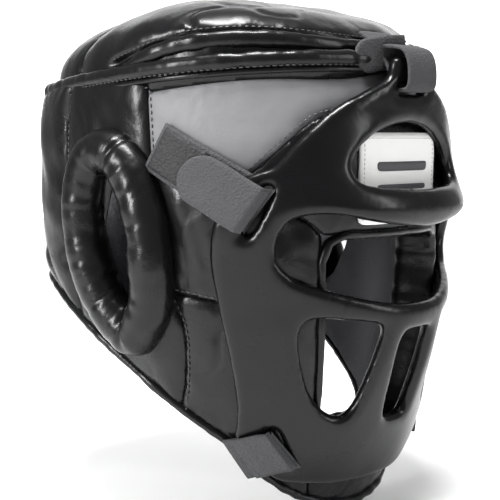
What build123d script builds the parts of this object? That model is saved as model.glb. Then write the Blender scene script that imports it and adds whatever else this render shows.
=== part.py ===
from build123d import *
from math import cos, hypot, pi, radians, sin, sqrt, tan
import os

# Padded boxing head guard with a removable moulded face cage.
# Millimetres, +Z up. The face looks along -Y and +X is the wearer's left. The origin is the
# centre of the head, half way between the two ear openings.
os.makedirs("parts", exist_ok=True)

# ---- Driving dimensions -------------------------------------------------------------------
skin = 2.2             # leather cover
padding = 20.0         # foam core of the walls
lining = 2.3           # cloth lining against the head
wall = skin + padding + lining

# A plan outline is eight tangent arcs: half width, half depth, then the centre and the radius
# of the corner arcs.
outline_centre_y = 10.0
wall_outline = (103.0, 115.0, 38.0, 50.0, 58.0)
wall_top, wall_bend, wall_bottom = 110.0, -62.0, -152.0
chin_taper = 15.0      # degrees that everything below the bend draws in towards the chin

# The crown sits just inside the rim: two straight-sided steps and a flat top.
crown_outline = (95.4, 107.4, 30.0, 42.0, 58.4)
crown_bottom, crown_shoulder, crown_dome, crown_top = 70.0, 108.0, 123.0, 133.0
shoulder_taper, dome_taper = 45.0, 60.0
crown_wall = 16.0      # cover, foam and lining of the crown together
crown_padding = crown_wall - skin - lining

# The rim between the wall and the crown is one plane, higher at the front than at the back.
rim_height = 91.0
rim_slope = -0.075     # rise per millimetre of Y
piping = 9.0           # height of the rolled piping
piping_out = 1.5       # how far the piping stands proud of the wall
piping_width = 8.0
edging = 2.6           # the thin welt under the piping

# The moulded cage stands in front of the guard and draws in above the brow.
cage_outline = (110.5, 131.0, 36.0, 54.0, 66.0)
cage_brow, cage_top = 20.0, 104.0
arch_taper = 6.0
cage_bar = 9.0         # thickness of the bars in front of the face
cage_clearance = 2.8   # between the cage and the guard

# Ear opening and the padded roll around it.
ear_half_height = 50.0
ear_half_width = 26.0
ear_end_radius = 20.0
ear_roll = 12.5        # radius of the roll
ear_lean = 9.0         # degrees that the lower end leans towards the face
ear_tilt = 4.0         # degrees that the lower end leans towards the head
ear_roll_x = 106.5

# Hook-and-loop straps.
strap_width = 27.0
strap_base = 1.0       # layer that lies on the guard
strap_flap = 1.6       # folded-back layer
strap_gap = 0.3        # air between a strap and what it lies on

left, right = 1, -1
far = 400.0            # longer than anything here


# ---- Shapes that the pieces are cut from --------------------------------------------------
def plan_line(half_width, half_depth, corner_x, corner_y, corner_radius, grow=0.0):
    """Eight tangent arcs about the origin, grown outwards by the given amount."""
    def flank(reach, across):
        """Radius of the arc between two corners, which it meets without a kink."""
        return (corner_radius ** 2 - reach ** 2 - across ** 2) / (2 * (corner_radius - reach))

    side = flank(half_width - corner_x, corner_y)
    end = flank(half_depth - corner_y, corner_x)
    radius = corner_radius + grow
    half_root = sqrt(0.5)
    side_run = hypot(corner_x - half_width + side, corner_y)
    end_run = hypot(corner_x, corner_y - half_depth + end)
    low = (corner_x + radius * (corner_x - half_width + side) / side_run,
           corner_y + radius * corner_y / side_run)
    middle = (corner_x + radius * half_root, corner_y + radius * half_root)
    high = (corner_x + radius * corner_x / end_run,
            corner_y + radius * (corner_y - half_depth + end) / end_run)
    with BuildLine() as line:
        for sx, sy in ((1, 1), (-1, 1), (-1, -1), (1, -1)):
            corner = [(sx * x, sy * y) for x, y in (low, middle, high)]
            ThreePointArc(*(corner if sx == sy else reversed(corner)))
        for sy in (1, -1):
            ThreePointArc((sy * high[0], sy * high[1]), (0, sy * (half_depth + grow)),
                          (-sy * high[0], sy * high[1]))
            ThreePointArc((-sy * low[0], sy * low[1]), (-sy * (half_width + grow), 0),
                          (-sy * low[0], -sy * low[1]))
    return line.line


def plan_prism(outline, grow, bottom, top, taper=0.0):
    """An upright prism that narrows by taper on its way from bottom to top."""
    with BuildPart() as prism:
        with BuildSketch(Plane((0, outline_centre_y, bottom))):
            with BuildLine():
                add(plan_line(*outline, grow))
            make_face()
        extrude(amount=top - bottom, taper=taper)
    return prism.part


def joined(*solids):
    """One solid made of several that touch."""
    with BuildPart() as whole:
        for solid in solids:
            add(solid)
    return whole.part


def wall_solid(inset):
    """Everything inside the padded wall's outer surface, moved in by inset."""
    return joined(
        plan_prism(wall_outline, -inset, wall_bend, wall_top),
        plan_prism(wall_outline, -inset, wall_bend, wall_bottom, chin_taper),
    )


def cage_solid(inset):
    """Everything inside the cage's outer surface, moved in by inset."""
    return joined(
        plan_prism(cage_outline, -inset, wall_bend, cage_brow),
        plan_prism(cage_outline, -inset, wall_bend, wall_bottom, chin_taper),
        plan_prism(cage_outline, -inset, cage_brow, cage_top, arch_taper),
    )


def crown_solid(inset):
    """Everything inside the crown's outer surface, moved in and down by inset."""
    shoulder, dome, top = crown_shoulder - inset, crown_dome - inset, crown_top - inset
    shoulder_run = (dome - shoulder) * tan(radians(shoulder_taper))
    return joined(
        plan_prism(crown_outline, -inset, crown_bottom, shoulder),
        plan_prism(crown_outline, -inset, shoulder, dome, shoulder_taper),
        plan_prism(crown_outline, -inset - shoulder_run, dome, top, dome_taper),
    )


def side_region(points):
    """A prism across the guard, with its outline given as (Y, Z) points."""
    with BuildPart() as prism:
        with BuildSketch(Plane.YZ):
            with BuildLine():
                Polyline(*points, close=True)
            make_face()
        extrude(amount=far, both=True)
    return prism.part


def front_region(points, depth_from=-far, depth_to=far):
    """A prism along Y, with its outline given as (X, Z) points."""
    with BuildPart() as prism:
        with BuildSketch(Plane.XZ.offset(-depth_to)):
            with BuildLine():
                Polyline(*points, close=True)
            make_face()
        extrude(amount=depth_to - depth_from)
    return prism.part


def half_space(side):
    """Everything on one side of the guard: left or right."""
    with BuildPart() as half:
        with Locations((side * far, 0, 0)):
            Box(2 * far, 2 * far, 2 * far)
    return half.part


def common(*solids):
    """The space that all the given solids share."""
    with BuildPart() as shared:
        add(solids[0])
        for other in solids[1:]:
            add(other, mode=Mode.INTERSECT)
    return shared.part


def without(solid, *tools):
    """The given solid with the others cut out of it."""
    with BuildPart() as rest:
        add(solid)
        for tool in tools:
            add(tool, mode=Mode.SUBTRACT)
    return rest.part


nodes = []


def keep(solid, label):
    """Names one finished piece and writes it."""
    solid.label = label
    nodes.append(label)
    export_step(solid, f"parts/{label}.step")


# ---- Cutting planes and openings ----------------------------------------------------------
def rim_z(y, offset=0.0):
    return rim_height + rim_slope * y + offset


rim_seat = -piping / 2
above_rim = side_region([
    (-far, rim_z(-far, rim_seat)), (far, rim_z(far, rim_seat)), (far, far), (-far, far),
])

# The lower edge runs level round the nape, then down to the chin.
neck_line = [(far, -27), (75, -33), (27, -57), (-24, -92), (-50, -111), (-66, -136), (-84, -151),
             (-far, -151)]
binding_height = 5.0
below_neck = side_region(neck_line + [(-far, -far), (far, -far)])
neck_band_space = side_region(
    [(y, z + binding_height) for y, z in neck_line] + [(-far, -far), (far, -far)]
)

# The face opening: level brow edge, cheeks that close in towards the chin.
brow_edge = 3.0
face_half_width = 50.0
face_outline = [
    (-face_half_width, brow_edge), (face_half_width, brow_edge), (face_half_width, -62),
    (32, -102), (24, -108), (-24, -108), (-32, -102), (-face_half_width, -62),
]
face_binding_width = 4.0
face_hole = front_region(face_outline, -far, 0)
with BuildPart() as face_edge_build:
    with BuildSketch(Plane.XZ):
        with BuildLine():
            Polyline(*face_outline, close=True)
        make_face()
        offset(amount=face_binding_width, kind=Kind.INTERSECTION)
    extrude(amount=far)
face_edge = face_edge_build.part

# Slit up the middle of the back, closed by the rear strap.
slit_width = 8.0
slit_top = 58.0
with BuildPart() as slit_build:
    with Locations((0, far / 2, slit_top - far / 2)):
        Box(slit_width, far, far)
slit = slit_build.part


def ear_plane(side):
    """The plane of one ear roll: its X runs back, its Y runs up, its Z points outwards."""
    tilt, lean = ear_tilt * pi / 180, ear_lean * pi / 180
    up = Vector(side * sin(tilt), cos(tilt) * sin(lean), cos(tilt) * cos(lean))
    outwards = Vector(side * cos(tilt), -sin(tilt) * sin(lean), -sin(tilt) * cos(lean))
    return Plane(origin=(side * ear_roll_x, 0, 0), x_dir=up.cross(outwards), z_dir=outwards)


def ear_oval(grow):
    """Four tangent arcs: an oval grown by the given amount from the roll's centre line."""
    w, h, r = ear_half_width, ear_half_height, ear_end_radius
    side_radius = (w * w - r * r + (h - r) ** 2) / (2 * (w - r))
    reach = hypot(side_radius - w, h - r)
    x = (side_radius - w) / reach * (r + grow)
    y = h - r + (h - r) / reach * (r + grow)
    with BuildLine() as oval:
        ThreePointArc((x, y), (0, h + grow), (-x, y))
        ThreePointArc((-x, y), (-w - grow, 0), (-x, -y))
        ThreePointArc((-x, -y), (0, -h - grow), (x, -y))
        ThreePointArc((x, -y), (w + grow, 0), (x, y))
    return oval.line


def ear_prism(side, grow, start, amount):
    """An oval prism in the ear roll's plane, from start outwards by amount."""
    with BuildPart() as prism:
        with BuildSketch(ear_plane(side).offset(start)):
            with BuildLine():
                add(ear_oval(grow))
            make_face()
        extrude(amount=amount)
    return prism.part


ear_seat_gap = 0.3
ear_cuts = []
for side in (left, right):
    ear_cuts.append(ear_prism(side, ear_roll + ear_seat_gap, -ear_roll - ear_seat_gap, 60))
    ear_cuts.append(ear_prism(side, -ear_roll + 3, -60, 80))

# ---- The padded wall in three layers ------------------------------------------------------
surfaces = [wall_solid(0), wall_solid(skin), wall_solid(skin + padding), wall_solid(wall)]
shared_cuts = [above_rim, below_neck, face_hole, slit] + ear_cuts
layers = []
for outer, inner in zip(surfaces, surfaces[1:]):
    layers.append(without(outer, inner, *shared_cuts))

trimmed = [without(layer, neck_band_space, face_edge) for layer in layers]
whole_wall = without(surfaces[0], surfaces[3], *shared_cuts)
neck_binding = without(common(whole_wall, neck_band_space), face_edge)
face_binding = common(whole_wall, face_edge)
keep(neck_binding, "neck_binding")
keep(face_binding, "face_opening_binding")

# Seams of the leather cover, as prisms seen from the side (Y, Z) or the front (X, Z).
band_height = 9.5
temple_rear = -17.0
band_space = side_region([
    (temple_rear, rim_z(temple_rear, rim_seat - band_height)), (temple_rear, far),
    (-far, far), (-far, rim_z(-far, rim_seat - band_height)),
])
temple_space = side_region([
    (temple_rear, far), (temple_rear - 2, 38), (-88, 3), (-far, 3), (-far, far),
])
forehead_half_width = 56.0
forehead_top = 66.0
forehead_space = front_region([
    (-forehead_half_width, brow_edge), (forehead_half_width, brow_edge),
    (forehead_half_width, forehead_top), (-forehead_half_width, forehead_top),
], -far, 0)
cheek_seam = -28.0
cheek_rear = -30.0
upper_cheek_space = side_region([
    (cheek_rear, cheek_seam), (cheek_rear + 8, 38), (-far, 38), (-far, cheek_seam),
])
lower_cheek_space = side_region([
    (cheek_rear, cheek_seam), (cheek_rear, -far), (-far, -far), (-far, cheek_seam),
])
chin_half_width = 36.0
chin_top = -104.0
chin_space = front_region([
    (-chin_half_width, chin_top), (chin_half_width, chin_top),
    (chin_half_width, -far), (-chin_half_width, -far),
], -far, 0)
back_seam = 62.0
back_space = side_region([(back_seam, -far), (back_seam, far), (far, far), (far, -far)])

cover, foam, lining_layer = trimmed
keep(common(cover, forehead_space), "forehead_pad_cover")
keep(common(cover, chin_space), "chin_pad_cover")
for side, name in ((left, "left"), (right, "right")):
    half = half_space(side)
    half_cover = common(cover, half)
    keep(common(half_cover, band_space), f"brow_band_{name}")
    keep(without(common(half_cover, temple_space), band_space, forehead_space),
         f"temple_panel_{name}")
    keep(without(common(half_cover, upper_cheek_space), temple_space, forehead_space),
         f"upper_cheek_cover_{name}")
    keep(without(common(half_cover, lower_cheek_space), chin_space),
         f"lower_cheek_cover_{name}")
    keep(without(half_cover, band_space, temple_space, upper_cheek_space, lower_cheek_space,
                 forehead_space, back_space), f"ear_panel_cover_{name}")
    keep(common(half_cover, back_space), f"back_panel_cover_{name}")

# Foam cores and linings: one for the forehead, one for the chin, and side and cheek pieces.
core_rear = -45.0
front_core_space = side_region([
    (core_rear, -far), (core_rear, far), (-far, far), (-far, -far),
])
forehead_core_space = side_region([
    (core_rear, brow_edge), (core_rear, far), (-far, far), (-far, brow_edge),
])
for layer, name in ((foam, "foam"), (lining_layer, "lining")):
    keep(common(layer, forehead_core_space), f"forehead_{name}")
    keep(common(layer, chin_space), f"chin_{name}")
    for side, hand in ((left, "left"), (right, "right")):
        half_layer = common(layer, half_space(side))
        keep(without(common(half_layer, front_core_space), forehead_core_space, chin_space),
             f"cheek_{name}_{hand}")
        keep(without(half_layer, front_core_space), f"side_{name}_{hand}")

# ---- Crown --------------------------------------------------------------------------------
crown_surfaces = [crown_solid(inset) for inset in (0, skin, skin + crown_padding, crown_wall)]
crown_layers = []
for outer, inner in zip(crown_surfaces, crown_surfaces[1:]):
    crown_layers.append(common(without(outer, inner), above_rim))
crown_back = 62.0
gusset_front, gusset_rear, gusset_top = -80.0, 2.0, 107.0
crown_back_space = side_region([
    (crown_back, -far), (crown_back, far), (far, far), (far, -far),
])
gusset_space = side_region([
    (gusset_front, -far), (gusset_front, gusset_top), (gusset_rear, gusset_top - 9),
    (gusset_rear, -far),
])
keep(without(crown_layers[0], crown_back_space, gusset_space), "crown_top_cover")
keep(common(crown_layers[0], crown_back_space), "crown_back_cover")
for side, name in ((left, "left"), (right, "right")):
    keep(common(crown_layers[0], gusset_space, half_space(side)), f"crown_gusset_{name}")
keep(crown_layers[1], "crown_foam")
keep(crown_layers[2], "crown_lining")

# Rolled piping on the rim and the thin welt below it, both between two tilted planes.
def rim_slab(low, high):
    return side_region([(-far, rim_z(-far, low)), (far, rim_z(far, low)),
                        (far, rim_z(far, high)), (-far, rim_z(-far, high))])


def rim_ring(grow_in, grow_out, low, high):
    """A ring around the rim, between two growths of the wall outline and two heights."""
    ring = without(plan_prism(wall_outline, grow_out, wall_bend, wall_top + 10),
                   plan_prism(wall_outline, grow_in, wall_bend, wall_top + 10))
    return common(ring, rim_slab(low, high))


keep(rim_ring(piping_out - piping_width, piping_out, rim_seat, rim_seat + piping), "crown_piping")
edging_drop = 1.0
edging_gap = 0.3
keep(rim_ring(edging_gap, edging_gap + 2, rim_seat - edging_drop - edging, rim_seat - edging_drop),
     "crown_edging")

# ---- Ear rolls ----------------------------------------------------------------------------
for side, name in ((left, "left"), (right, "right")):
    plane = ear_plane(side)
    path = plane * ear_oval(0)
    with BuildPart() as roll:
        with BuildLine():
            add(path)
        start = path.edges()[0]
        with BuildSketch(Plane(origin=start @ 0, z_dir=start % 0)):
            Circle(ear_roll)
        sweep(path=path)
    keep(roll.part, f"ear_roll_{name}")

# ---- Face cage: one moulded shell ---------------------------------------------------------
# Rear edge seen from the side, arch and openings seen from the front.
cage_side = side_region([
    (-93, far), (-91, 52), (-86, 41), (-64, 30), (-58, 3), (-58, -29), (-61, -104), (-76, -124),
    (-88, -137), (-far, -137), (-far, far),
])
arch_half = [(17, 96), (18, 85), (29, 78), (47, 70), (61, 61), (71, 52), (80, 41), (far, 41)]
arch = arch_half + [(far, -far), (-far, -far)] + [(-x, z) for x, z in reversed(arch_half)]
cage_front = front_region(arch, -far, 0)


def mirrored_outline(half):
    """A closed outline from its half with X >= 0, listed from top to bottom."""
    return half + [(-x, z) for x, z in reversed(half) if x > 0]


forehead_window = mirrored_outline([
    (0, 64), (9, 64), (26, 60), (40, 54), (49, 47), (52, 39), (46, 31), (24, 27), (0, 26),
])
eye_window = mirrored_outline([
    (0, 7), (11, 8), (38, 11), (60, 15), (72, 14), (79, 10), (82.5, 4), (82.5, -4), (77, -15),
    (71, -20), (58, -25), (43, -29), (25, -34), (0, -35),
])
mouth_window = mirrored_outline([(0, -50), (14, -50), (12, -97), (0, -97)])
jaw_window = [
    (68, -42), (66, -60), (61, -76), (52, -88), (40, -96), (33, -91), (30, -80), (30, -48),
    (48, -43),
]
windows = [front_region(forehead_window, -far, 0), front_region(eye_window, -far, 0),
           front_region(mouth_window, -far, 0), front_region(jaw_window, -far, 0),
           front_region([(-x, z) for x, z in jaw_window], -far, 0)]


def strip(centre, direction, start, end, half_width):
    """A prism across one side: a strip in the (Y, Z) plane along a direction."""
    length = hypot(*direction)
    ay, az = direction[0] / length, direction[1] / length
    cy, cz = centre
    corners = []
    for along, across in ((start, -half_width), (end, -half_width), (end, half_width),
                          (start, half_width)):
        corners.append((cy + along * ay - across * az, cz + along * az + across * ay))
    return side_region(corners)


# Each side strap: name, slot centre (Y, Z), direction to its rear end, length, width of the
# cage's bar behind the slot, and how much shorter the folded flap is.
side_straps = [
    ("temple_strap", (-78, 16), (55, 33), 48.0, 20.0, 7.0),
    ("jaw_strap", (-76, -110), (17, -8), 30.0, 17.0, 0.0),
]
slot_width = 5.0
slot_spare = 1.5       # the slot is this much longer than the strap at each end
slots = [strip(centre, direction, -slot_width / 2, slot_width / 2, strap_width / 2 + slot_spare)
         for _, centre, direction, *_ in side_straps]

# The crown tab has its slot across the middle of the forehead.
tab_slot_low, tab_slot_high = 76.0, 81.0
tab_top = 96.0
tab_slot = front_region([
    (-13, tab_slot_low), (13, tab_slot_low), (13, tab_slot_high), (-13, tab_slot_high),
], -far, 0)

cage = without(common(cage_solid(0), cage_side, cage_front), cage_solid(cage_bar),
               wall_solid(-cage_clearance), tab_slot, *windows, *slots)
keep(cage, "face_cage")

# ---- Straps that hold the cage ------------------------------------------------------------
base_low, base_high = strap_gap, strap_gap + strap_base
flap_low = base_high + strap_gap
flap_high = flap_low + strap_flap
on_guard = {height: wall_solid(-height) for height in (base_low, base_high, flap_low, flap_high)}
under_bar = cage_solid(0)
bar_low = cage_solid(-strap_gap)
bar_high = cage_solid(-strap_gap - strap_flap)
thread = 1.6           # thickness of the strap where it passes through the slot

for name, centre, direction, length, bar, shorter in side_straps:
    half_strap = strap_width / 2
    lies = strip(centre, direction, -thread / 2, length, half_strap)
    through = strip(centre, direction, -thread / 2, thread / 2, half_strap)
    crosses = strip(centre, direction, 0, bar + 2 * thread, half_strap)
    drops = strip(centre, direction, bar + thread, bar + 2 * thread, half_strap)
    rests = strip(centre, direction, bar + thread, length - shorter, half_strap)
    for side, hand in ((left, "left"), (right, "right")):
        half = half_space(side)
        keep(joined(
            without(common(on_guard[base_high], lies, half), on_guard[base_low]),
            without(common(under_bar, through, half), on_guard[base_low]),
        ), f"{name}_base_{hand}")
        keep(joined(
            without(common(bar_high, crosses, half), bar_low),
            without(common(bar_high, drops, half), on_guard[flap_low]),
            without(common(on_guard[flap_high], rests, half), on_guard[flap_low]),
        ), f"{name}_flap_{hand}")

# Front strap of the crown tab: its base lies behind the tab, its flap folds over the top.
half_tab_strap = 12.0
tab_flap_front = front_region([
    (-half_tab_strap, tab_slot_high - thread - 1), (half_tab_strap, tab_slot_high - thread - 1),
    (half_tab_strap, tab_top + strap_gap + strap_flap),
    (-half_tab_strap, tab_top + strap_gap + strap_flap),
], -far, 0)
tab_flap_top = front_region([
    (-half_tab_strap, tab_top + strap_gap), (half_tab_strap, tab_top + strap_gap),
    (half_tab_strap, tab_top + strap_gap + strap_flap),
    (-half_tab_strap, tab_top + strap_gap + strap_flap),
], -far, 0)
rear_of_tab = -107.5
ahead_of_rim = side_region([(rear_of_tab, -far), (rear_of_tab, far), (-far, far), (-far, -far)])
keep(joined(
    without(common(bar_high, tab_flap_front), bar_low),
    common(bar_high, tab_flap_top, ahead_of_rim),
), "crown_strap_flap")
tab_base_space = front_region([
    (-half_tab_strap, tab_slot_low - 4), (half_tab_strap, tab_slot_low - 4),
    (half_tab_strap, rim_z(-98, rim_seat) - 4), (-half_tab_strap, rim_z(-98, rim_seat) - 4),
], -far, 0)
keep(without(common(on_guard[base_high], tab_base_space), on_guard[base_low]), "crown_strap_base")

# ---- Label patch and rear closure ---------------------------------------------------------
label_half_width, label_low, label_high = 34.0, 12.0, 58.0
label_space = front_region([
    (-label_half_width, label_low), (label_half_width, label_low),
    (label_half_width, label_high), (-label_half_width, label_high),
], -far, 0)
label_thickness = 1.0
label_surface = wall_solid(-label_thickness)
keep(without(common(label_surface, label_space), surfaces[0]), "label_patch")

closure_low, closure_high = -14.0, 36.0
closure_hinge_x = 14.0
closure_reach = 56.0


def closure_layer(x_from, x_to, low, high):
    """A strip of the rear closure, between two heights over the back of the guard."""
    with BuildPart() as space:
        with Locations(((x_from + x_to) / 2, far / 2, (closure_low + closure_high) / 2)):
            Box(x_to - x_from, far, closure_high - closure_low)
    return without(common(wall_solid(-high), space.part), wall_solid(-low))


keep(closure_layer(-closure_reach, -slit_width / 2 - 2, 0, 1.6), "closure_hook_patch")
keep(closure_layer(closure_hinge_x + 0.4, closure_reach, 0, 3.6), "closure_strap_root")
keep(closure_layer(-closure_reach + 4, closure_hinge_x, 2.0, 3.6), "closure_strap_flap")

print(len(nodes), "nodes")
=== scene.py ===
"""Boxing headgear with a removable moulded face cage, dressed for the shop window."""

import math

import bmesh
import bpy
import numpy as np
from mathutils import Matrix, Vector


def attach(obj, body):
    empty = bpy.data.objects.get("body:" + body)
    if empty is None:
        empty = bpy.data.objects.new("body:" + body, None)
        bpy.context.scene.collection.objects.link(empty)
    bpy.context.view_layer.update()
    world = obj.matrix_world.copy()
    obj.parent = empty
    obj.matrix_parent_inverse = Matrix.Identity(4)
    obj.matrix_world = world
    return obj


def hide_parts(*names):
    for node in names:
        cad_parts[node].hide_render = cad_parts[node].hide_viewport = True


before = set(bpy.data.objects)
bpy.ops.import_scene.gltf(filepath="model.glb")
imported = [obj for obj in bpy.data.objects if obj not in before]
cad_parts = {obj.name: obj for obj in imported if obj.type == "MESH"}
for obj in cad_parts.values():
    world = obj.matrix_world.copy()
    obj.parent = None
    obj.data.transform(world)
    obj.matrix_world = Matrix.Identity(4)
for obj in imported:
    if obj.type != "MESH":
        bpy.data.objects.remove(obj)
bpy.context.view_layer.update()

# ------------------------------------------------------------------ studio
# A sheet of pale paper under the headgear and a glowing pale wall behind it,
# one broad lamp overhead and a softer one from each side, seen from the
# wearer's right.
floor_height, floor_reach = -0.1545, 6
wall_foot, wall_head = -1.5, 2.5
wall_near, wall_far = (1.2, 2.6), (3.2, 0.2)


def plain_finish(name, colour, roughness):
    material = bpy.data.materials.new(name)
    material.use_nodes = True
    shader = material.node_tree.nodes["Principled BSDF"]
    shader.inputs["Base Color"].default_value = (*colour, 1)
    shader.inputs["Roughness"].default_value = roughness
    return material


def studio_lamp(name, place, aim, size, power):
    lamp = bpy.data.lights.new(name, "AREA")
    lamp.shape = "RECTANGLE"
    lamp.size, lamp.size_y = size
    lamp.energy = power
    holder = bpy.data.objects.new(name, lamp)
    holder.location = place
    holder.rotation_euler = (Vector(aim) - Vector(place)).to_track_quat("-Z", "Y").to_euler()
    bpy.context.scene.collection.objects.link(holder)


def studio_sheet(name, corners, finish_name, colour, glow):
    """A flat sheet of backdrop that gives off a little light of its own."""
    mesh = bpy.data.meshes.new(name)
    mesh.from_pydata(corners, [], [(0, 1, 2, 3)])
    finish = plain_finish(finish_name, colour, 0.9)
    shader = finish.node_tree.nodes["Principled BSDF"]
    shader.inputs["Emission Color"].default_value = (1, 1, 1, 1)
    shader.inputs["Emission Strength"].default_value = glow
    mesh.materials.append(finish)
    sheet = bpy.data.objects.new(name, mesh)
    bpy.context.scene.collection.objects.link(sheet)


floor_corners = [
    (x * floor_reach, y * floor_reach, floor_height) for x, y in ((-1, -1), (1, -1), (1, 1), (-1, 1))
]
studio_sheet("studio_floor", floor_corners, "floor_paper", (0.86, 0.86, 0.86), 0.12)
wall_corners = [
    (*wall_near, wall_foot),
    (*wall_far, wall_foot),
    (*wall_far, wall_head),
    (*wall_near, wall_head),
]
studio_sheet("studio_wall", wall_corners, "wall_paper", (1, 1, 1), 1.0)

studio_lamp("lamp_overhead", (-0.15, -0.1, 1.1), (0, 0, 0), (0.5, 0.28), 34)
studio_lamp("lamp_left", (-1.2, 0.3, 0.45), (0, 0, 0), (0.16, 0.7), 26)
studio_lamp("lamp_right", (0.5, -1.3, 0.5), (0, 0, 0), (0.22, 0.8), 6)

world = bpy.data.worlds.new("studio_air")
world.use_nodes = True
air = world.node_tree.nodes["Background"]
air.inputs["Color"].default_value = (1, 1, 1, 1)
air.inputs["Strength"].default_value = 0.3
bpy.context.scene.world = world
bpy.context.scene.view_settings.view_transform = "Standard"

camera_turn, camera_rise, camera_distance = math.radians(-50), math.radians(5), 0.76
camera_aim = Vector((0, -0.001, -0.013))
camera_back = Vector(
    (
        math.sin(camera_turn) * math.cos(camera_rise),
        -math.cos(camera_turn) * math.cos(camera_rise),
        math.sin(camera_rise),
    )
)
camera = bpy.data.objects.new("camera", bpy.data.cameras.new("camera"))
camera.data.lens = 91.8
camera.data.sensor_width = 36
camera.data.clip_start = 0.05
camera.location = camera_aim + camera_back * camera_distance
camera.rotation_euler = (-camera_back).to_track_quat("-Z", "Y").to_euler()
bpy.context.scene.collection.objects.link(camera)
bpy.context.scene.camera = camera

# ----------------------------------------------------------- guard padding
# The foam of the head guard: one thick wall round the head with a hole over
# each ear, the face opening in front and a slit behind. Each row of the form
# is a height, half a width, the depth in front and behind, and a squareness.
guard_rows = (
    (-160, 62, 76, 60, 2.3), (-130, 76, 85, 85, 2.3), (-100, 86, 95, 105, 2.3),
    (-60, 97, 103, 120, 2.3), (-20, 102, 106, 125, 2.3), (20, 104, 107, 127, 2.3),
    (50, 104, 108, 127, 2.3), (80, 103, 102, 127, 2.3), (100, 102, 98, 127, 2.3),
    (118, 100, 94, 125, 2.3),
)  # fmt: skip
padding_back, padding_face = 19.5, 2.4
smooth_reach, ring_points = 11, 4001
rim_middle, rim_fall = 91.0, 0.075


def travelled(line):
    """The distance run along the line at each of its points."""
    return np.concatenate([[0], np.cumsum(np.linalg.norm(np.diff(line, axis=0), axis=1))])


def unit(vectors, least=0.0):
    return vectors / (np.linalg.norm(vectors, axis=-1, keepdims=True) + least)


def make_form(rows):
    """Smoothed sizes at every millimetre of height, and the girth measured along the form."""
    rows = np.array(rows, float)
    heights = np.arange(rows[0, 0] - 20, rows[-1, 0] + 21)
    window = np.hanning(2 * smooth_reach + 1)
    window /= window.sum()
    sizes = []
    for column in range(1, 5):
        values = np.interp(heights, rows[:, 0], rows[:, column])
        sizes.append(np.convolve(np.pad(values, smooth_reach, mode="edge"), window, "valid"))
    form = {"heights": heights, "sizes": sizes}
    form["angles"] = np.linspace(-math.pi, math.pi, ring_points)
    length = travelled(form_point(form, form["angles"], np.zeros(ring_points)))
    form["girth"] = length - length[-1] / 2
    return form


def sizes_at(form, height):
    """Half the width, the depths in front and behind, and the squareness at a height."""
    return [np.interp(height, form["heights"], size) for size in form["sizes"]]


def form_point(form, angle, height):
    half, front, back, power = sizes_at(form, height)
    cosine, sine = np.cos(angle), np.sin(angle)
    x = half * np.sign(sine) * np.abs(sine) ** (2 / power)
    y = -np.where(cosine >= 0, front, back) * np.sign(cosine) * np.abs(cosine) ** (2 / power)
    return np.stack([x, y, np.asarray(height, float) + 0 * x], -1)


def on_form(form, flat, lift=0.0):
    """Points in space for (girth, height) pairs, lifted off the form along its normal."""
    flat = np.asarray(flat, float)

    def place(du, dz):
        angle = np.interp(flat[..., 0] + du, form["girth"], form["angles"])
        return form_point(form, angle, flat[..., 1] + dz)

    normal = unit(np.cross(place(1.5, 0) - place(-1.5, 0), place(0, 1.5) - place(0, -1.5)), 1e-9)
    return place(0, 0) + normal * np.asarray(lift, float)[..., None]


def girth_at(form, x, y, z):
    """The (girth, height) pair of a point near the form."""
    half, front, back, power = sizes_at(form, z)
    sine = (abs(x) / half) ** (power / 2)
    cosine = (abs(y) / (front if y < 0 else back)) ** (power / 2)
    angle = math.atan2(math.copysign(sine, x), math.copysign(cosine, -y))
    return [float(np.interp(angle, form["angles"], form["girth"])), z]


def eased(points, times=3):
    """The line through the points with its inner corners rounded off."""
    points = np.array(points, float)
    for _ in range(times):
        a, b = points[:-1], points[1:]
        cut = np.stack([a * 0.75 + b * 0.25, a * 0.25 + b * 0.75], 1).reshape(-1, points.shape[1])
        points = np.vstack([points[:1], cut[1:-1], points[-1:]])
    return points


def flipped(line):
    return np.array(line, float) * (-1, 1)


def edge_depth(points, outline, holes=()):
    """Distance of each point to the nearest edge, positive where there is material."""

    def measure(polygon):
        nearest = np.full(len(points), 1e9)
        inside = np.zeros(len(points), bool)
        for p, q in zip(polygon, np.roll(polygon, -1, 0)):
            along = q - p
            if along @ along < 1e-9:
                continue
            share = np.clip((points - p) @ along / (along @ along), 0, 1)
            nearest = np.minimum(nearest, np.linalg.norm(points - p - share[:, None] * along, axis=1))
            if p[1] != q[1]:
                crossing = (p[1] > points[:, 1]) != (q[1] > points[:, 1])
                at = p[0] + (points[:, 1] - p[1]) / (q[1] - p[1]) * along[0]
                inside ^= crossing & (points[:, 0] < at)
        return np.where(inside, nearest, -nearest)

    depth = measure(np.asarray(outline, float))
    for hole in holes:
        depth = np.minimum(depth, -measure(np.asarray(hole, float)))
    return depth


def ripple(points, seed, size):
    """Soft irregular waves through space, about -1 to 1, size millimetres apart."""
    rng = np.random.default_rng(seed)
    total = np.zeros(points.shape[:-1])
    for _ in range(7):
        way, bend = rng.normal(size=3), rng.normal(size=3)
        way, bend = way / np.linalg.norm(way), bend / np.linalg.norm(bend)
        pitch = 2 * math.pi / (size * rng.uniform(0.7, 1.7))
        swing = 1.6 * np.sin(points @ bend * pitch * 0.4 + rng.uniform(0, 6))
        total = total + np.sin(points @ way * pitch + rng.uniform(0, 6) + swing)
    return total / 4


def creases(points, seed, size):
    """Sharp valleys where soft material folds, 0 on open ground and down to -1."""
    sharp = np.exp(-((ripple(points, seed, size) / 0.13) ** 2))
    return -sharp * np.clip(ripple(points, seed + 50, size * 2.2), 0, 1)


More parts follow.
